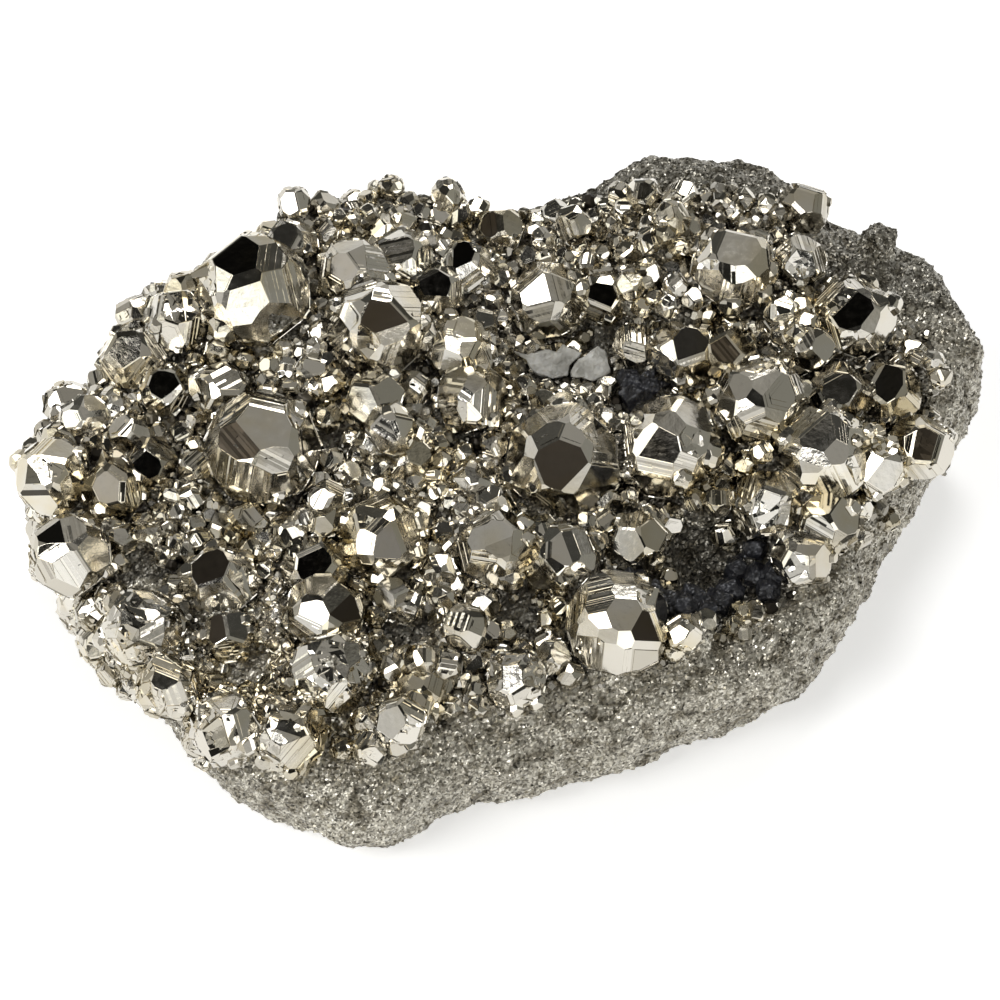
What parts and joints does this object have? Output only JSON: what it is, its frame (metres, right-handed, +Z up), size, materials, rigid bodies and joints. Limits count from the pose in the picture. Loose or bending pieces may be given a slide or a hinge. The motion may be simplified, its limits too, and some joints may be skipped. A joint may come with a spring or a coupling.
{
  "type": "pyrite cluster",
  "caption": "Mineral specimen: intergrown pyrite crystals crusting a slab of fine-grained pyrite, with dark sphalerite and quartz between them.",
  "frame": {"origin": "middle of the bounding box's foot, on the flat that the rock rests on", "axes": "+Z up, +X along the slab's length, -Y towards the low front edge, so the crystal bed rises towards +Y"},
  "size_m": [0.1536, 0.116, 0.0514],
  "materials": {
    "pyrite": "pale brassy metallic crystal faces, mirror-bright to finely striated",
    "pyrite_rock": "granular massive pyrite, sparkling fine grains",
    "sphalerite": "bluish-black, resinous to submetallic lustre",
    "quartz": "milky translucent, vitreous broken plates"
  },
  "bodies": {
    "root": {"crystal_back_right_1": "pyrite", "crystal_back_right_2": "pyrite", "crystal_big_left": "pyrite", "crystal_broad_right": "pyrite", "crystal_brown_face": "pyrite", "crystal_centre": "pyrite", "crystal_crown": "pyrite", "crystal_dark_square": "pyrite", "crystal_east": "pyrite", "crystal_front": "pyrite", "crystal_grey_face": "pyrite", "crystal_left_slope_1": "pyrite", "crystal_left_slope_2": "pyrite", "crystal_left_slope_3": "pyrite", "crystal_left_slope_4": "pyrite", "crystal_left_slope_5": "pyrite", "crystal_left_slope_6": "pyrite", "crystal_left_slope_7": "pyrite", "crystal_left_slope_8": "pyrite", "crystal_left_slope_9": "pyrite", "crystal_mid_right": "pyrite", "crystal_middle_1": "pyrite", "crystal_middle_2": "pyrite", "crystal_middle_3": "pyrite", "crystal_middle_4": "pyrite", "crystal_middle_5": "pyrite", "crystal_near_edge": "pyrite", "crystal_north_1": "pyrite", "crystal_north_2": "pyrite", "crystal_north_3": "pyrite", "crystal_north_4": "pyrite", "crystal_pale_face": "pyrite", "crystal_peak_right": "pyrite", "crystal_right_1": "pyrite", "crystal_right_2": "pyrite", "crystal_right_3": "pyrite", "crystal_right_4": "pyrite", "crystal_right_5": "pyrite", "crystal_right_6": "pyrite", "crystal_right_7": "pyrite", "crystal_right_8": "pyrite", "crystal_right_9": "pyrite", "crystal_rounded_back": "pyrite", "crystal_striped_back": "pyrite", "crystal_striped_right": "pyrite", "crystal_wedge": "pyrite", "crystal_west_1": "pyrite", "crystal_west_2": "pyrite", "crystal_west_3": "pyrite", "crystal_west_4": "pyrite", "crystal_west_5": "pyrite", "crystal_west_6": "pyrite", "crystal_west_lower": "pyrite", "crystal_west_upper": "pyrite", "pyrite_rock": "pyrite_rock", "quartz_chip_left": "quartz", "quartz_chip_right": "quartz", "sphalerite_back": "sphalerite", "sphalerite_front": "sphalerite"}
  },
  "joints": []
}
